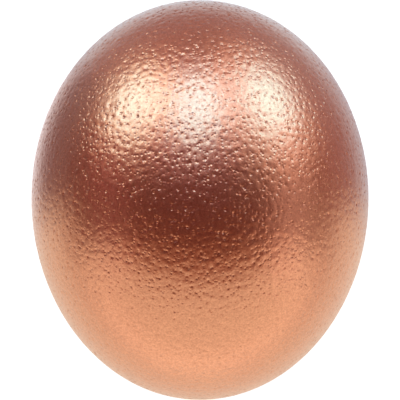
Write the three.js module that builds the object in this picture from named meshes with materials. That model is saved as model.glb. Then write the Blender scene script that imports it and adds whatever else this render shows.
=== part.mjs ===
// An ostrich egg with a metallic copper coat, lying on its side.
//
// The egg is one solid: an almost elliptical body of revolution, a little blunter at one end, pitted all
// over by the mouths of its pores. It rests on a small flat spot on its side.
//
// Millimetres. +Z is up, and +Y runs along the egg towards its blunt end. The origin is the centre of the
// resting spot, which lies under the middle of the egg's long axis.

import * as THREE from "three";
import { ConvexHull } from "three/addons/math/ConvexHull.js";

// Driving dimensions of the egg. BLUNTNESS is the share by which its girth grows at the blunt end and
// shrinks at the other, against an ellipsoid's.
const EGG_LENGTH = 150;
const EGG_WIDTH = 126.5;
const BLUNTNESS = 0.0085;

// The resting spot: how far it is cut into the round side, and how many corners its rim has
const SPOT_DEPTH = 0.5;
const SPOT_CORNERS = 11;

// The pits, fewer and wider than a real shell's pores so that each one is a true hollow in the solid
const PIT_COUNT = 815;
const PIT_RADIUS = 0.95;
const PIT_DEPTH = 0.65;
const PIT_SIDES = 5;
const PIT_SHIFT = 0.28; // furthest a pit lies off the even spiral, as a share of the distance between pits
const PIT_SPREAD = 0.25; // share by which pits differ in width and depth
const SPOT_MARGIN = 2.5; // bare shell kept between the resting spot and the nearest pit

// Finish
const COPPER = new THREE.Color(0.84, 0.4, 0.24);
const COPPER_ROUGHNESS = 0.34;

// Derived sizes
const HALF_LENGTH = EGG_LENGTH / 2;
const HALF_WIDTH = EGG_WIDTH / 2;
const AXIS_HEIGHT = HALF_WIDTH - SPOT_DEPTH;
const GOLDEN_ANGLE = Math.PI * (3 - Math.sqrt(5));

// A repeatable source of numbers from 0 up to 1 (a linear congruential generator).
function makeRandom(seed) {
  const MODULUS = 2 ** 32;
  let state = seed;
  return () => {
    state = (1664525 * state + 1013904223) % MODULUS;
    return state / MODULUS;
  };
}

// The point of the egg's round surface that lies in a direction, about the middle of the egg's long axis.
function pointOnEgg(direction) {
  const girth = HALF_WIDTH * (1 + BLUNTNESS * direction.y);
  return new THREE.Vector3(
    girth * direction.x,
    HALF_LENGTH * direction.y,
    girth * direction.z,
  );
}

// The way out of the egg's surface there.
function outwardAt(direction) {
  return new THREE.Vector3(
    direction.x / HALF_WIDTH,
    direction.y / HALF_LENGTH,
    direction.z / HALF_WIDTH,
  ).normalize();
}

// A point of the bare surface, with the direction that it lies in.
function surfaceVertex(direction) {
  return { direction, point: pointOnEgg(direction) };
}

// Two directions at right angles to a third and to each other.
function tangentsOf(direction) {
  const helper = Math.abs(direction.z) < 0.9 ? new THREE.Vector3(0, 0, 1) : new THREE.Vector3(1, 0, 0);
  const across = new THREE.Vector3().crossVectors(helper, direction).normalize();
  const along = new THREE.Vector3().crossVectors(direction, across);
  return [across, along];
}

// The direction reached from another one by a small step in its tangent plane, in radians.
function stepFrom(direction, acrossStep, alongStep) {
  const [across, along] = tangentsOf(direction);
  return direction
    .clone()
    .addScaledVector(across, acrossStep)
    .addScaledVector(along, alongStep)
    .normalize();
}

// Pit centres as directions: an even golden-angle spiral about the long axis, each one shifted at random.
function spreadPits(random) {
  const spacing = Math.sqrt((4 * Math.PI) / PIT_COUNT);
  const reach = PIT_SHIFT * spacing;
  const centres = [];
  for (let i = 0; i < PIT_COUNT; i++) {
    const y = 1 - (2 * i + 1) / PIT_COUNT;
    const ring = Math.sqrt(1 - y * y);
    const even = new THREE.Vector3(
      ring * Math.cos(i * GOLDEN_ANGLE),
      y,
      ring * Math.sin(i * GOLDEN_ANGLE),
    );
    const turn = 2 * Math.PI * random();
    const shift = reach * Math.sqrt(random());
    centres.push(stepFrom(even, shift * Math.cos(turn), shift * Math.sin(turn)));
  }
  return centres;
}

// The corners of the resting spot's rim, where the level plane SPOT_DEPTH up from the lowest point cuts
// the egg.
function spotRim() {
  const down = AXIS_HEIGHT / HALF_WIDTH;
  const out = Math.sqrt(1 - down * down);
  return Array.from({ length: SPOT_CORNERS }, (_, i) => {
    const angle = (2 * Math.PI * i) / SPOT_CORNERS;
    const direction = new THREE.Vector3(
      out * Math.cos(angle),
      out * Math.sin(angle),
      -down,
    );
    return { direction, point: pointOnEgg(direction).setZ(-AXIS_HEIGHT) };
  });
}

// One pit: its rim on the surface and its floor, pressed in at the centre.
function pit(centre, random) {
  const size = 1 + PIT_SPREAD * (2 * random() - 1);
  const reach = (size * PIT_RADIUS) / HALF_WIDTH;
  const start = 2 * Math.PI * random();
  const floor = {
    direction: centre,
    point: pointOnEgg(centre).addScaledVector(outwardAt(centre), -size * PIT_DEPTH),
  };
  const rim = Array.from({ length: PIT_SIDES }, (_, i) => {
    const angle = start + (2 * Math.PI * i) / PIT_SIDES;
    const direction = stepFrom(centre, reach * Math.cos(angle), reach * Math.sin(angle));
    return surfaceVertex(direction);
  });
  return [floor, ...rim];
}

// True where a pit would cut into the resting spot.
function meetsSpot(centre, rim) {
  const { x, y, z } = pointOnEgg(centre);
  const rimReach = Math.max(...rim.map(({ point }) => Math.hypot(point.x, point.y)));
  return z < 0 && Math.hypot(x, y) < rimReach + PIT_RADIUS + SPOT_MARGIN;
}

// Triangles over points known by direction: the faces of the directions' convex hull, which joins each
// point to its nearest neighbours.
function joinNeighbours(directions) {
  const order = new Map(directions.map((direction, i) => [direction, i]));
  const corners = [];
  for (const face of new ConvexHull().setFromPoints(directions).faces) {
    let edge = face.edge;
    do {
      corners.push(order.get(edge.head().point));
      edge = edge.next;
    } while (edge !== face.edge);
  }
  return corners;
}

function eggGeometry() {
  const random = makeRandom(7);
  const rim = spotRim();
  const tips = [new THREE.Vector3(0, 1, 0), new THREE.Vector3(0, -1, 0)].map(surfaceVertex);
  const vertices = [...rim, ...tips];
  for (const centre of spreadPits(random)) {
    if (!meetsSpot(centre, rim)) vertices.push(...pit(centre, random));
  }
  const geometry = new THREE.BufferGeometry();
  geometry.setFromPoints(vertices.map(({ point }) => point));
  geometry.setIndex(joinNeighbours(vertices.map(({ direction }) => direction)));
  geometry.computeVertexNormals();
  return geometry;
}

function makeEgg() {
  const copperCoat = new THREE.MeshStandardMaterial({
    name: "copper_coat",
    color: COPPER,
    metalness: 1,
    roughness: COPPER_ROUGHNESS,
    flatShading: true,
  });
  const egg = new THREE.Mesh(eggGeometry(), copperCoat);
  egg.name = "egg";
  egg.position.z = AXIS_HEIGHT;
  return egg;
}

const ostrichEgg = new THREE.Group();
ostrichEgg.add(makeEgg());

export default ostrichEgg;
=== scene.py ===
"""The looks of a copper-coated ostrich egg: its pitted shell, its coat, and a small studio round it.

Metres. The egg lies on its side with its blunt end towards +Y, and the camera looks straight down on it, so
the top of the picture is +Y. Every size is a real one.
"""

import math

import bpy
import numpy as np
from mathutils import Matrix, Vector
from mathutils.geometry import delaunay_2d_cdt
from mathutils.kdtree import KDTree


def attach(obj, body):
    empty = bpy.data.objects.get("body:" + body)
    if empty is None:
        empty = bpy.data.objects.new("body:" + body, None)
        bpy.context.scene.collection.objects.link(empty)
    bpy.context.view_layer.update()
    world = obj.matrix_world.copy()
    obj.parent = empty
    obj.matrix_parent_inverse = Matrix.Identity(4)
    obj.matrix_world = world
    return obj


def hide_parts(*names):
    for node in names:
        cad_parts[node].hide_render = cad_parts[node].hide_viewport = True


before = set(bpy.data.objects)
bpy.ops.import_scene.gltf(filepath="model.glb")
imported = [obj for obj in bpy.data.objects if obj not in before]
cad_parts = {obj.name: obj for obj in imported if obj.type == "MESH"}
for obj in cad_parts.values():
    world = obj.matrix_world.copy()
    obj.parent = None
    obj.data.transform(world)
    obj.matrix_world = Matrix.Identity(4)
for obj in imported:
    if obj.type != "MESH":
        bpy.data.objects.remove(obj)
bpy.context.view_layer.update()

MM = 0.001
SEED = 11

# The egg, as the CAD model has it
HALF_LENGTH = 75.0 * MM
HALF_WIDTH = 63.25 * MM
BLUNTNESS = 0.0085  # share by which its girth grows towards the blunt end
SPOT_DEPTH = 0.5 * MM
AXIS_HEIGHT = HALF_WIDTH - SPOT_DEPTH

# Pits
PIT_SPACING = (0.97 * MM, 1.94 * MM, 2.7 * MM)  # least distance to the next pit: lowest, usual, highest
PIT_TRIES = 60000
PIT_RADIUS = 0.55 * MM
PIT_DEPTH = 0.22 * MM
PIT_SIZES = (0.5, 1.35)  # widths and depths, as shares of the usual one
PIT_SKEW = 1.4  # how far the small ones prevail
PIT_STRETCH = 1.8  # the longest pits are this many times as long as wide
RIM_DROP = 0.05 * MM
# A pit's painted shade is darkest on its floor and fades to this share at its rim
RIM_SHADE = 0.3  # how much of a pit's darkening reaches its rim
RIM_LEAN = 0.09  # slope of the shell just outside a usual pit's rim
WALL_LEAN = 0.62  # slope of the pit's wall just inside it
WALL_SHARE = 0.5  # furthest that a rim reaches from its pit towards the middle of the net's triangle
NET_TOLERANCE = 1e-7  # nearness at which points of the flat net would count as one

# The slow unevenness of the shell between its pits
SWELL_HEIGHT = 0.017 * MM
SWELL_LENGTHS = (2.0 * MM, 5.0 * MM)
SWELL_WAVES = 48

# Strength of the relief at the narrow end, how much more of it the blunt end has, and the power by which it
# rises in between: that of the shell round the pits, and that of the pits' walls
SHELL_COARSENING = (0.8, 0.7, 3)
WALL_COARSENING = (0.2, 0.6, 0.8)

# The coat. Colours are linear, and noise scales are per metre.
COPPER = (0.84, 0.385, 0.22, 1)
COPPER_WARM = (0.85, 0.40, 0.225, 1)
# A dark copper that random specks in the coat take, and how far painted shade darkens the pits' floors
# towards it
SPECK_AND_PIT_SHADE_COLOUR = (0.45, 0.17, 0.09, 1)
PAINTED_PIT_SHADE = 0.15
COAT_ROUGHNESS = (0.28, 0.40)
GLAZE_ROUGHNESS = 0.32
GLAZE_IOR = 1.5
TONE_SPAN = (0.35, 0.65)  # stretch of a noise's values over which a tone changes
CLOUD_SCALE = 30.0
SPECK_SCALE = 1500.0
SPECK_SHARE = 0.45
FLAKE_SCALE = 2500.0
FLAKE_SPAN = (0.3, 0.7)

# The coat's bumps, which are too fine for the mesh
BUMP_COARSENING = (0.9, 1.05)  # height of pebbles and pricks at the narrow end and at the blunt one
GRAIN_SCALE = 1600.0
GRAIN_HEIGHT = 0.03 * MM
PEBBLE_SCALE = 450.0
PEBBLE_HEIGHT = 0.125 * MM
PRICK_SCALE = 760.0
PRICK_SHARE = 0.5  # a prick's radius, as a share of its cell's width
PRICK_DEPTH = 0.15 * MM

# The studio. To the camera floor and room are plain white: their tints show only in the egg's reflections.
# Most strengths and tints of the floor's glow, the lamps and the cards are rounded results of a
# least-squares fit to the photo's tones. The others were chosen or changed.
EGG_MIDDLE = Vector((0, 0, AXIS_HEIGHT))
FLOOR_SIZE = 24.0
FLOOR_PAPER = (0.25, 0.25, 0.25, 1)
FLOOR_SEEN = (1.0, 1.0, 1.0, 1)
# The floor's glow beside the egg, and further out. Past the narrow end, front turns to far. In a wedge on
# the left, left turns to shade. Elsewhere right, or near past the blunt end, turns to back.
FLOOR_FRONT = (0.79, 0.72, 0.58, 1)
FLOOR_FAR = (0.45, 0.31, 0.25, 1)
FLOOR_LEFT = (1.05, 1.1, 1.15, 1)
FLOOR_SHADE = (0.09, 0.0, 0.0, 1)
FLOOR_RIGHT = (0.48, 0.53, 0.60, 1)
FLOOR_NEAR = (0.68, 0.88, 1.0, 1)
FLOOR_BACK = (0.20, 0.02, 0.01, 1)
# Distances from the egg's middle over which the second tint of each pair takes over from the first
FAR_REACH = (0.25, 0.45)
SHADE_REACH = (0.08, 0.15)
BACK_REACH = (0.10, 0.20)
# Places along +Y over which near takes over from right, and front from the other two
NEAR_EDGE = (0.07, 0.09)
FRONT_EDGE = (0.01, -0.03)
# The wedge's slanting edge: its slope, and how far it is blurred to either side
WEDGE_SLOPE = 0.9
WEDGE_EDGE = (-0.015, 0.015)
ROOM_DIM = (0.10, 0.005, 0.0, 1)
ROOM_PALE = (1.0, 1.0, 1.0, 1)
# Three lamps past the blunt end. Each is a core, a softbox round it and a scrim round both, which add up.
LAMP_DISTANCE = 0.8
LAMP_STAGGER = 0.01
LAMPS = (
    # name, then in degrees polar angle, azimuth and width seen from the egg, then radiance and colour
    ("left_core", 67.0, 132.0, 28.0, 3.5, (0.0, 0.60, 1.0)),
    ("left_softbox", 67.0, 132.0, 40.0, 1.5, (1.0, 0.98, 0.70)),
    ("left_scrim", 67.0, 132.0, 68.0, 0.15, (1.0, 0.0, 0.0)),
    ("middle_core", 47.0, 93.0, 28.0, 3.1, (0.0, 0.55, 1.0)),
    ("middle_softbox", 47.0, 93.0, 40.0, 2.0, (0.57, 0.87, 1.0)),
    ("middle_scrim", 47.0, 93.0, 68.0, 0.25, (1.0, 0.0, 0.0)),
    ("right_core", 70.0, 48.0, 28.0, 2.6, (0.0, 0.72, 1.0)),
    ("right_softbox", 70.0, 48.0, 40.0, 1.75, (0.45, 0.70, 1.0)),
    ("right_scrim", 70.0, 48.0, 68.0, 0.57, (1.0, 0.70, 0.52)),
)
# A tall pale card past the narrow end, a low dim one past the blunt end, and a dim one on either side
CARD_Y = -0.35
CARD_WIDTH = 2.1
CARDS = (
    # name, foot, head, radiance, colour
    ("card", 0.0, 0.5, 0.86, (1.0, 1.0, 0.87)),
    ("card_top", 0.5, 0.75, 0.28, (1.0, 0.3, 0.1)),
)
BACK_Y = 0.6
BACK_SIZE = (1.2, 0.2)
BACK_RADIANCE = 0.08
BACK_COLOUR = (1.0, 0.8, 0.6)
SIDE_X = 0.6
SIDE_SIZE = (0.9, 0.38)
SIDE_HEIGHT = 0.38
SIDES = (
    # name, side, radiance, colour
    ("left_side", -1, 0.12, (1.0, 0.4, 0.55)),
    ("right_side", 1, 0.40, (1.0, 0.82, 0.82)),
)
CAMERA_DISTANCE = 1.2
SENSOR_WIDTH = 36.0  # in millimetres, as Blender counts it
# Sockets of the Mix node for colours: its names stand for more than one socket each
MIX_INPUTS = (0, 6, 7)
MIX_RESULT = 2


def egg_point(direction):
    """Points of the egg's round side, by direction from the middle of its long axis."""
    girth = HALF_WIDTH * (1 + BLUNTNESS * direction[:, 1])
    return np.stack(
        [girth * direction[:, 0], HALF_LENGTH * direction[:, 1], girth * direction[:, 2]], axis=1
    )


def egg_normal(direction):
    """Outward normals of the egg's round side, bluntness left out."""
    return unit(direction / np.array([HALF_WIDTH, HALF_LENGTH, HALF_WIDTH]))


def egg_direction(point):
    """Directions from the middle of the egg's long axis, for points on or near its round side."""
    return unit(point / np.array([HALF_WIDTH, HALF_LENGTH, HALF_WIDTH]))


def unit(vectors):
    return vectors / np.linalg.norm(vectors, axis=-1, keepdims=True)


def tangents(normals):
    """Two directions at right angles to each normal and to each other."""
    across = unit(np.cross(normals, [0.0, 0.0, 1.0]))
    return across, np.cross(normals, across)


def scatter_pits(rng):
    """Directions of the pit centres, strewn evenly over the shell's area but never in rows."""
    tries = unit(rng.normal(size=(PIT_TRIES, 3)))
    # An egg's ends have less area for their share of directions than its side: thin them out to match.
    area = np.linalg.norm(
        tries * np.array([HALF_LENGTH, HALF_WIDTH, HALF_LENGTH]), axis=1
    )
    tries = tries[rng.random(PIT_TRIES) < area / HALF_LENGTH]
    places = egg_point(tries)
    gaps = rng.triangular(*PIT_SPACING, size=len(tries))
    tree = KDTree(len(tries))
    for i, place in enumerate(places):
        tree.insert(place, i)
    tree.balance()
    kept = np.ones(len(tries), bool)
    for i, place in enumerate(places):
        if kept[i]:
            for _, j, _ in tree.find_range(place, gaps[i]):
                if j > i:
                    kept[j] = False
    return tries[kept]


def neighbours(directions):
    """Triangles between the directions: their Delaunay net on the sphere, as rows of three indices.

    The sphere is opened out on a plane from its last point, where circles stay circles. The flat net's outer
    edges are then joined to that point.
    """
    pole = directions[-1]
    across, along = tangents(pole)
    rest = directions[:-1]
    lift = 1 - rest @ pole
    flat = [Vector(pair) for pair in np.stack([rest @ across / lift, rest @ along / lift], axis=1)]
    faces = delaunay_2d_cdt(flat, [], [], 0, NET_TOLERANCE)[2]
    triangles = np.array(faces)
    edges = {(a, b) for t in faces for a, b in zip(t, (*t[1:], t[0]))}
    border = [(a, b) for a, b in edges if (b, a) not in edges]
    caps = np.array([(b, a, len(rest)) for a, b in border])
    triangles = np.vstack([triangles, caps])
    a, b, c = (directions[triangles[:, k]] for k in range(3))
    inward = np.einsum("ij,ij->i", np.cross(b - a, c - a), a + b + c) < 0
    triangles[inward] = triangles[inward][:, ::-1]
    return triangles


def build_shell_mesh():
    """The pitted shell: a floor point and a rim for each pit, and level points between them.

    The level points are the middles of the net's triangles and edges, where the shell leans towards no pit.
    """
    rng = np.random.default_rng(SEED)
    pits = scatter_pits(rng)
    nets = neighbours(pits)
    edges = net_edges(nets)
    pit_count = len(pits)
    least, most = PIT_SIZES
    size = least + (most - least) * rng.random(pit_count) ** PIT_SKEW
    stretch = rng.uniform(1.0, PIT_STRETCH, size=pit_count)
    turn = rng.uniform(0, math.pi, size=pit_count)

    # One rim point for each corner of each net triangle, on the way from the pit to the triangle's middle.
    middle = unit(pits[nets].sum(axis=1))
    saddle = unit(pits[[a for a, *_ in edges]] + pits[[b for _, b, *_ in edges]])
    owner = nets.reshape(-1)
    centre = egg_point(pits)[owner]
    reach = np.repeat(egg_point(middle), 3, axis=0) - centre
    distance = np.linalg.norm(reach, axis=1)
    across, along = tangents(egg_normal(pits))
    angle = np.arctan2((reach * along[owner]).sum(axis=1), (reach * across[owner]).sum(axis=1))
    longer = stretch[owner] ** (0.5 * np.cos(2 * (angle - turn[owner])))
    share = np.minimum(PIT_RADIUS * size[owner] * longer / distance, WALL_SHARE)
    rim = egg_direction(centre + reach * share[:, None])

    directions = np.vstack([pits, rim, middle, saddle])
    level = np.zeros(len(middle) + len(saddle))
    base = egg_point(directions)
    base[:, 2] = np.maximum(base[:, 2], -AXIS_HEIGHT)
    up = egg_normal(directions)
    swell, swell_slope = swells(base, rng)
    coarse = coarseness(directions, *SHELL_COARSENING)[:, None]
    swell = swell * coarse[:, 0]
    swell_slope = swell_slope * coarse
    drop = np.concatenate([PIT_DEPTH * size, RIM_DROP * size[owner], level])
    points = base + up * (swell - drop)[:, None]
    points[:, 2] = np.maximum(points[:, 2] + AXIS_HEIGHT, 0)

    # The shell's own lean at each point, and at the rims its lean towards the pit, inside it and outside it.
    lean = up - (swell_slope - up * (swell_slope * up).sum(axis=1, keepdims=True))
    inwards = np.zeros_like(directions)
    inwards[pit_count:pit_count + len(rim)] = -unit(reach) * size[owner][:, None]
    inside = unit(lean + inwards * WALL_LEAN * coarseness(directions, *WALL_COARSENING)[:, None])
    outside = unit(lean + inwards * RIM_LEAN * coarse)

    walls, rest = shell_faces(edges, pit_count, len(nets))
    mesh = bpy.data.meshes.new("shell")
    mesh.from_pydata(points.tolist(), [], walls + rest)
    mesh.polygons.foreach_set("use_smooth", np.ones(len(mesh.polygons), bool))
    normals = np.concatenate([inside[np.array(walls).reshape(-1)], outside[np.array(rest).reshape(-1)]])
    mesh.normals_split_custom_set(normals.tolist())
    # Painted shade for the coat: full on the pits' floors, part on their rims, none between them
    pit_shade_share = np.concatenate([np.ones(pit_count), np.full(len(rim), RIM_SHADE), level])
    mesh.attributes.new("pit", "FLOAT", "POINT").data.foreach_set("value", pit_shade_share)
    return mesh


def coarseness(directions, least, rise, power):
    """How strong a relief is at each point: the blunt end is the coarser one."""
    return least + rise * ((1 + directions[:, 1]) / 2) ** power


def net_edges(nets):
    """Each edge of the net once: its two pits, and on either side of it the triangle there and the corner of
    that triangle at which the edge starts."""
    homes = {}
    for triangle, corners in enumerate(nets.tolist()):
        for k in range(3):
            homes[corners[k], corners[(k + 1) % 3]] = (triangle, k)
    return [(a, b, home, homes[b, a]) for (a, b), home in homes.items() if a < b]


def shell_faces(edges, pit_count, net_count):
    """The pits' walls, and the shell between them. The points are the pits' floors, the rim points (three to
    a net triangle), the middles of the triangles and the middles of the edges, in that order."""
    first_middle = pit_count + 3 * net_count
    first_saddle = first_middle + net_count
    walls, rest = [], []
    for i, (a, b, (left, k), (right, j)) in enumerate(edges):
        left_a, left_b = (pit_count + 3 * left + corner % 3 for corner in (k, k + 1))
        right_b, right_a = (pit_count + 3 * right + corner % 3 for corner in (j, j + 1))
        walls.append((a, right_a, left_a))
        walls.append((b, left_b, right_b))
        ring = (left_a, right_a, first_middle + right, right_b, left_b, first_middle + left)
        rest.extend((first_saddle + i, p, q) for p, q in zip(ring, (*ring[1:], ring[0])))
    return walls, rest


def swells(points, rng):
    """The shell's slow unevenness, a sum of waves in all directions: its height and slope at each point."""
    ways = unit(rng.normal(size=(SWELL_WAVES, 3)))
    waves = ways * (2 * math.pi / rng.uniform(*SWELL_LENGTHS, size=SWELL_WAVES))[:, None]
    phases = rng.uniform(0, 2 * math.pi, size=SWELL_WAVES)
    turns = points @ waves.T + phases
    strength = SWELL_HEIGHT * math.sqrt(2 / SWELL_WAVES)
    return strength * np.cos(turns).sum(axis=1), -strength * np.sin(turns) @ waves


class Nodes:
    """A short way to write a node tree."""

    def __init__(self, tree):
        self.tree = tree
        tree.nodes.clear()

    def add(self, kind, values=None, **settings):
        node = self.tree.nodes.new(kind)
        for name, value in settings.items():
            setattr(node, name, value)
        for name, value in (values or {}).items():
            if isinstance(value, bpy.types.NodeSocket):
                self.tree.links.new(value, node.inputs[name])
            else:
                node.inputs[name].default_value = value
        return node

    def noise(self, vector, scale, detail=2.0):
        values = {"Vector": vector, "Scale": scale, "Detail": detail}
        return self.add("ShaderNodeTexNoise", values).outputs["Fac"]

    def spread(self, value, low, high, to_low, to_high, soft=False):
        """Carries a value over from one range to another, and stops it at the ends, if soft with an ease."""
        values = {"Value": value, "From Min": low, "From Max": high, "To Min": to_low, "To Max": to_high}
        way = "SMOOTHSTEP" if soft else "LINEAR"
        return self.add("ShaderNodeMapRange", values, interpolation_type=way).outputs["Result"]

    def product(self, first, second):
        return self.add("ShaderNodeMath", {0: first, 1: second}, operation="MULTIPLY").outputs["Value"]

    def bump(self, height, distance, normal=None):
        values = {"Height": height, "Distance": distance, "Strength": 1.0}
        if normal:
            values["Normal"] = normal
        return self.add("ShaderNodeBump", values).outputs["Normal"]

    def mix_colour(self, factor, first, second):
        values = dict(zip(MIX_INPUTS, (factor, first, second)))
        return self.add("ShaderNodeMix", values, data_type="RGBA").outputs[MIX_RESULT]


def copper_coat():
    """Copper-coloured metallic paint under a clear glaze: a soft, bumpy mirror, with painted shade darkening
    its pits.
    """
    material = bpy.data.materials.new("copper_coat")
    material.use_nodes = True
    nodes = Nodes(material.node_tree)
    place = nodes.add("ShaderNodeTexCoord").outputs["Object"]
    pit = nodes.add("ShaderNodeAttribute", attribute_name="pit").outputs["Fac"]

    cloud = nodes.noise(place, CLOUD_SCALE)
    speck = nodes.noise(place, SPECK_SCALE)
    flake = nodes.noise(place, FLAKE_SCALE, detail=1.0)
    cloudy = nodes.mix_colour(nodes.spread(cloud, *TONE_SPAN, 0, 1), COPPER, COPPER_WARM)
    specked = nodes.mix_colour(nodes.spread(speck, *TONE_SPAN, 0, SPECK_SHARE), cloudy, SPECK_AND_PIT_SHADE_COLOUR)
    # Painted shade: the pits darken towards the dark copper
    colour = nodes.mix_colour(nodes.spread(pit, 0, 1, 0, PAINTED_PIT_SHADE), specked, SPECK_AND_PIT_SHADE_COLOUR)
    roughness = nodes.spread(flake, *FLAKE_SPAN, *COAT_ROUGHNESS)

    grain = nodes.noise(place, GRAIN_SCALE, detail=3.0)
    pebbles = nodes.noise(place, PEBBLE_SCALE, detail=0.0)
    cells = nodes.add("ShaderNodeTexVoronoi", {"Vector": place, "Scale": PRICK_SCALE}).outputs
    chance = nodes.add("ShaderNodeSeparateColor", {"Color": cells["Color"]}).outputs["Red"]
    pricks = nodes.spread(cells["Distance"], 0, PRICK_SHARE, chance, 1, soft=True)
    along = nodes.add("ShaderNodeSeparateXYZ", {0: place}).outputs["Y"]
    coarse = nodes.spread(along, -HALF_LENGTH, HALF_LENGTH, *BUMP_COARSENING)
    normal = nodes.bump(grain, GRAIN_HEIGHT)
    normal = nodes.bump(nodes.product(pebbles, coarse), PEBBLE_HEIGHT, normal)
    normal = nodes.bump(nodes.product(pricks, coarse), PRICK_DEPTH, normal)
    shader = nodes.add("ShaderNodeBsdfPrincipled", {
        "Base Color": colour,
        "Metallic": 1.0,
        "Roughness": roughness,
        "Coat Weight": 1.0,
        "Coat Roughness": GLAZE_ROUGHNESS,
        "Coat IOR": GLAZE_IOR,
        "Normal": normal,
    })
    nodes.add("ShaderNodeOutputMaterial", {"Surface": shader.outputs["BSDF"]})
    return material


def make_shell():
    mesh = build_shell_mesh()
    mesh.materials.append(copper_coat())
    shell = bpy.data.objects.new("egg_shell", mesh)
    bpy.context.scene.collection.objects.link(shell)
    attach(shell, "root")
    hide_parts("egg")


def make_floor():
    """A pale floor that glows a little, as a light table does, and unevenly in the egg's reflections."""
    mesh = bpy.data.meshes.new("floor")
    half = FLOOR_SIZE / 2
    corners = [(-half, -half, 0), (half, -half, 0), (half, half, 0), (-half, half, 0)]
    mesh.from_pydata(corners, [], [(0, 1, 2, 3)])
    material = bpy.data.materials.new("pale_floor")
    material.use_nodes = True
    nodes = Nodes(material.node_tree)
    place = nodes.add("ShaderNodeTexCoord").outputs["Object"]
    distance = nodes.add("ShaderNodeVectorMath", {0: place}, operation="LENGTH").outputs["Value"]
    across, along, _ = nodes.add("ShaderNodeSeparateXYZ", {0: place}).outputs
    seen = nodes.add("ShaderNodeLightPath").outputs["Is Camera Ray"]
    rise = nodes.product(across, WEDGE_SLOPE)
    past_wedge = nodes.add("ShaderNodeMath", {0: rise, 1: along}, operation="ADD").outputs["Value"]
    near = nodes.mix_colour(nodes.spread(along, *NEAR_EDGE, 0, 1), FLOOR_RIGHT, FLOOR_NEAR)
    back = nodes.mix_colour(nodes.spread(distance, *BACK_REACH, 0, 1), near, FLOOR_BACK)
    wedge = nodes.mix_colour(nodes.spread(distance, *SHADE_REACH, 0, 1), FLOOR_LEFT, FLOOR_SHADE)
    behind = nodes.mix_colour(nodes.spread(past_wedge, *WEDGE_EDGE, 0, 1), wedge, back)
    front = nodes.mix_colour(nodes.spread(distance, *FAR_REACH, 0, 1), FLOOR_FRONT, FLOOR_FAR)
    tint = nodes.mix_colour(nodes.spread(along, *FRONT_EDGE, 0, 1), behind, front)
    glow = nodes.add("ShaderNodeEmission", {"Color": nodes.mix_colour(seen, tint, FLOOR_SEEN)}).outputs[0]
    paper = nodes.add("ShaderNodeBsdfDiffuse", {"Color": FLOOR_PAPER}).outputs[0]
    both = nodes.add("ShaderNodeAddShader", {0: glow, 1: paper}).outputs[0]
    nodes.add("ShaderNodeOutputMaterial", {"Surface": both})
    mesh.materials.append(material)
    floor = bpy.data.objects.new("floor", mesh)
    bpy.context.scene.collection.objects.link(floor)


def make_room():
    """The room round the studio: pale to the eye, dim in the egg's reflections."""
    world = bpy.data.worlds.new("room")
    bpy.context.scene.world = world
    world.use_nodes = True
    nodes = Nodes(world.node_tree)
    seen = nodes.add("ShaderNodeLightPath").outputs["Is Camera Ray"]
    colour = nodes.mix_colour(seen, ROOM_DIM, ROOM_PALE)
    background = nodes.add("ShaderNodeBackground", {"Color": colour}).outputs[0]
    nodes.add("ShaderNodeOutputWorld", {"Surface": background})


def softbox(name, polar, azimuth, distance, width, radiance, colour):
    """A round lamp that faces the egg's middle, polar degrees from straight up and azimuth ones from +X."""
    way = Vector((
        math.sin(math.radians(polar)) * math.cos(math.radians(azimuth)),
        math.sin(math.radians(polar)) * math.sin(math.radians(azimuth)),
        math.cos(math.radians(polar)),
    ))
    across = 2 * distance * math.tan(math.radians(width / 2))
    lamp(name, EGG_MIDDLE + way * distance, way, (across, across), radiance, colour, "ELLIPSE")


def lamp(name, place, away, size, radiance, colour, shape="RECTANGLE"):
    """An area lamp at a place, with its back towards away, and of an even radiance."""
    light = bpy.data.lights.new(name, "AREA")
    light.shape = shape
    light.size, light.size_y = size
    area = size[0] * size[1] * (math.pi / 4 if shape == "ELLIPSE" else 1)
    light.energy = radiance * math.pi * area
    light.color = colour
    holder = bpy.data.objects.new(name, light)
    holder.location = place
    holder.rotation_euler = Vector(away).to_track_quat("Z", "Y").to_euler()
    bpy.context.scene.collection.objects.link(holder)


def make_lights():
    # Each lamp hangs a little further out than the last one, so that none shares a plane with another and
    # hides it.
    for i, (name, polar, azimuth, width, radiance, colour) in enumerate(LAMPS):
        softbox(name, polar, azimuth, LAMP_DISTANCE + i * LAMP_STAGGER, width, radiance, colour)
    for name, foot, head, radiance, colour in CARDS:
        lamp(name, (0, CARD_Y, (foot + head) / 2), (0, -1, 0), (CARD_WIDTH, head - foot), radiance, colour)
    lamp("back_card", (0, BACK_Y, BACK_SIZE[1] / 2), (0, 1, 0), BACK_SIZE, BACK_RADIANCE, BACK_COLOUR)
    for name, side, radiance, colour in SIDES:
        lamp(name, (side * SIDE_X, 0, SIDE_HEIGHT), (side, 0, 0), SIDE_SIZE, radiance, colour)


def make_camera():
    """Straight above the egg, and framed so that the egg fills the picture from top to bottom."""
    data = bpy.data.cameras.new("camera")
    camera = bpy.data.objects.new("camera", data)
    camera.location = (0, 0, EGG_MIDDLE.z + CAMERA_DISTANCE)
    # The tangent of the angle between the middle of the view and the egg's ends
    half_view = HALF_LENGTH / math.sqrt(CAMERA_DISTANCE**2 - HALF_LENGTH**2)
    data.sensor_width = SENSOR_WIDTH
    data.lens = SENSOR_WIDTH / 2 / half_view
    bpy.context.scene.collection.objects.link(camera)
    bpy.context.scene.camera = camera


make_shell()
make_floor()
make_room()
make_lights()
make_camera()
bpy.context.scene.view_settings.view_transform = "Standard"
